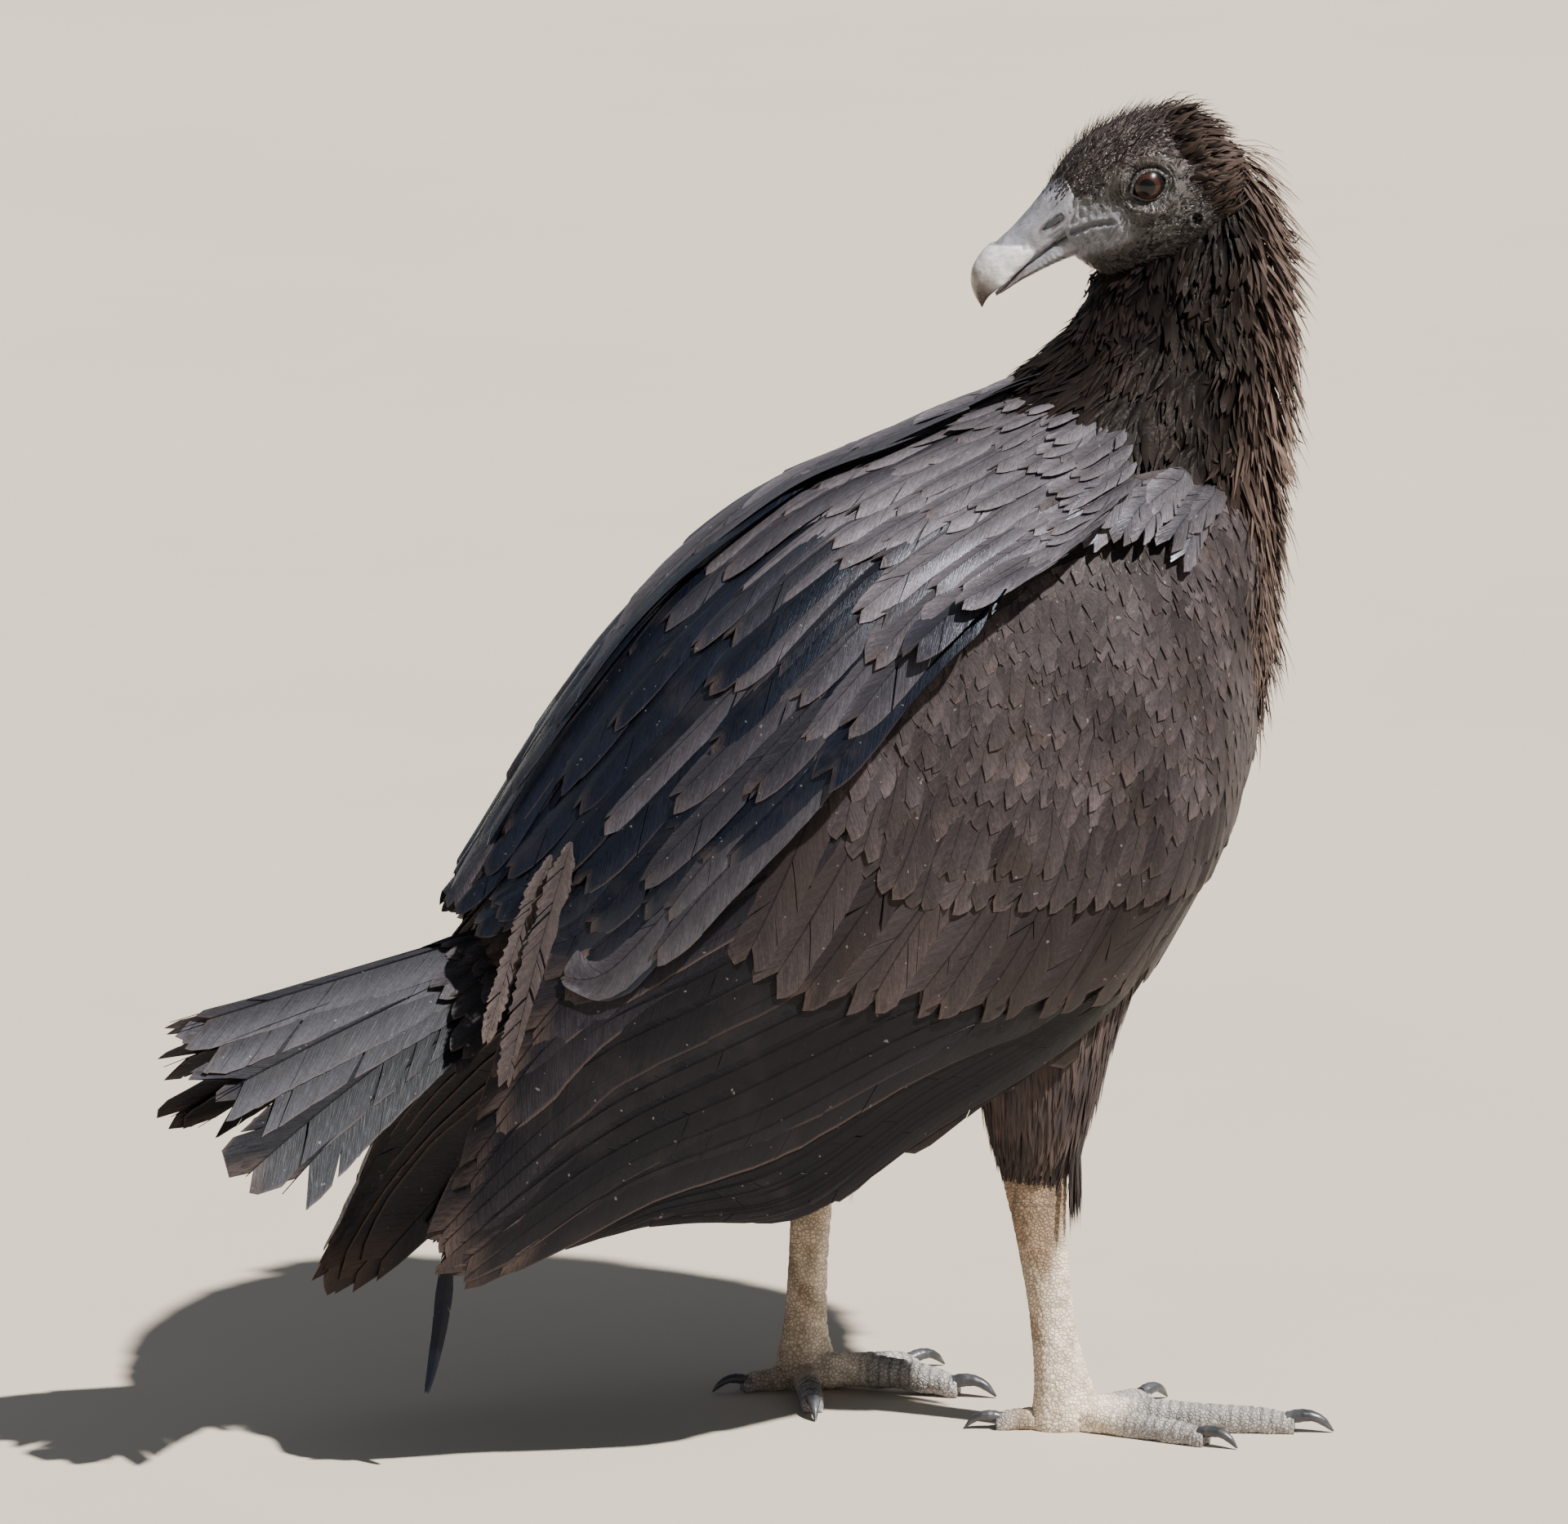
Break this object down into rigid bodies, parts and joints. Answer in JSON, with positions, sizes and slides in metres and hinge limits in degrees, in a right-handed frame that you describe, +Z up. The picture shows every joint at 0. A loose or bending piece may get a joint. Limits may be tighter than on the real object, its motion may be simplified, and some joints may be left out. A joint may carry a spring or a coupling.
{
  "type": "black vulture",
  "caption": "Life-size still model of a black vulture that stands on both feet, wings hanging half folded, head turned back over its shoulder.",
  "frame": {"origin": "middle of the bird's bounding box, on the floor under its feet", "axes": "+X the way the body faces, +Y the bird's left, +Z up"},
  "size_m": [0.4266, 0.205, 0.4764],
  "materials": {
    "plumage": "soft black-brown feathers",
    "flight_feathers": "smooth slate-black feathers with a faint blue gloss",
    "bare_skin": "wrinkled dark grey bare skin",
    "bill_horn": "satin grey horn, paler towards the tip",
    "leg_scales": "rough pale scaly skin",
    "claws": "satin dark grey horn",
    "eyes": "wet dark brown iris with a black pupil"
  },
  "bodies": {
    "root": {"trunk": "plumage", "neck": "plumage", "head": "bare_skin", "bill_upper": "bill_horn", "bill_lower": "bill_horn", "eye_left": "eyes", "eye_right": "eyes", "shoulder_left": "plumage", "shoulder_right": "plumage", "wing_left_coverts": "plumage", "wing_right_coverts": "plumage", "wing_left_secondaries": "flight_feathers", "wing_right_secondaries": "flight_feathers", "wing_left_primaries": "flight_feathers", "wing_right_primaries": "flight_feathers", "tail_left": "flight_feathers", "tail_right": "flight_feathers", "feather_loose": "flight_feathers", "thigh_left": "plumage", "thigh_right": "plumage", "shank_left": "leg_scales", "shank_right": "leg_scales", "toe_left_1": "leg_scales", "toe_left_2": "leg_scales", "toe_left_3": "leg_scales", "toe_left_4": "leg_scales", "toe_right_1": "leg_scales", "toe_right_2": "leg_scales", "toe_right_3": "leg_scales", "toe_right_4": "leg_scales", "claw_left_1": "claws", "claw_left_2": "claws", "claw_left_3": "claws", "claw_left_4": "claws", "claw_right_1": "claws", "claw_right_2": "claws", "claw_right_3": "claws", "claw_right_4": "claws"}
  },
  "joints": []
}
